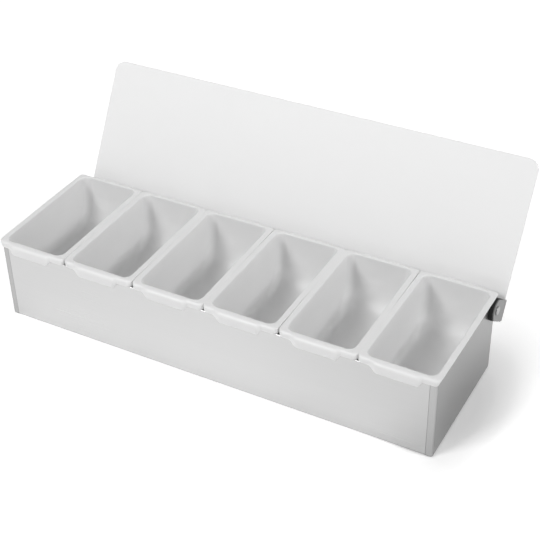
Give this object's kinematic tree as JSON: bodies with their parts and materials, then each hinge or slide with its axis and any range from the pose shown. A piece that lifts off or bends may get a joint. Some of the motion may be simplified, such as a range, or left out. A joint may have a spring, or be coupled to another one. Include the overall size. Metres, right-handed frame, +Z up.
{
  "type": "condiment caddy",
  "caption": "Long folded-steel box holding a row of lift-out plastic tubs with finger tabs, under one flat sheet lid hinged at both ends.",
  "frame": {"origin": "middle of the housing's flat underside, on the surface it stands on", "axes": "+X along the row of tubs, +Y towards the hinge side at the back, +Z up"},
  "size_m": [0.4996, 0.2419, 0.1946],
  "materials": {
    "housing_steel": "fine brushed, along the length",
    "bracket_steel": "fine brushed",
    "pin_steel": "satin",
    "tub_plastic": "smooth white moulded plastic",
    "lid_plastic": "smooth milky sheet",
    "bush_plastic": "satin black"
  },
  "bodies": {
    "housing": {"housing_wrap": "housing_steel", "end_panel_left": "housing_steel", "end_panel_right": "housing_steel", "pivot_pin_left": "pin_steel", "pivot_pin_right": "pin_steel", "hinge_bush_left": "bush_plastic", "hinge_bush_right": "bush_plastic"},
    "lid": {"lid_sheet": "lid_plastic", "hinge_bracket_left": "bracket_steel", "hinge_bracket_right": "bracket_steel", "lid_rivets_left": "pin_steel", "lid_rivets_right": "pin_steel", "lid_washers_left": "pin_steel", "lid_washers_right": "pin_steel"},
    "tub_1": {"tub_1": "tub_plastic"},
    "tub_2": {"tub_2": "tub_plastic"},
    "tub_3": {"tub_3": "tub_plastic"},
    "tub_4": {"tub_4": "tub_plastic"},
    "tub_5": {"tub_5": "tub_plastic"},
    "tub_6": {"tub_6": "tub_plastic"}
  },
  "joints": [
    {"name": "lid_hinge", "type": "hinge", "parent": "housing", "child": "lid", "pos_m": [0, 0.06525, 0.07834], "axis": [-1, 0, 0], "range_deg": [-123.7, 10]},
    {"name": "tub_1_lift", "type": "slide", "parent": "housing", "child": "tub_1", "axis": [0, 0, 1], "range_m": [0, 0.1]},
    {"name": "tub_2_lift", "type": "slide", "parent": "housing", "child": "tub_2", "axis": [0, 0, 1], "range_m": [0, 0.1]},
    {"name": "tub_3_lift", "type": "slide", "parent": "housing", "child": "tub_3", "axis": [0, 0, 1], "range_m": [0, 0.1]},
    {"name": "tub_4_lift", "type": "slide", "parent": "housing", "child": "tub_4", "axis": [0, 0, 1], "range_m": [0, 0.1]},
    {"name": "tub_5_lift", "type": "slide", "parent": "housing", "child": "tub_5", "axis": [0, 0, 1], "range_m": [0, 0.1]},
    {"name": "tub_6_lift", "type": "slide", "parent": "housing", "child": "tub_6", "axis": [0, 0, 1], "range_m": [0, 0.1]}
  ]
}
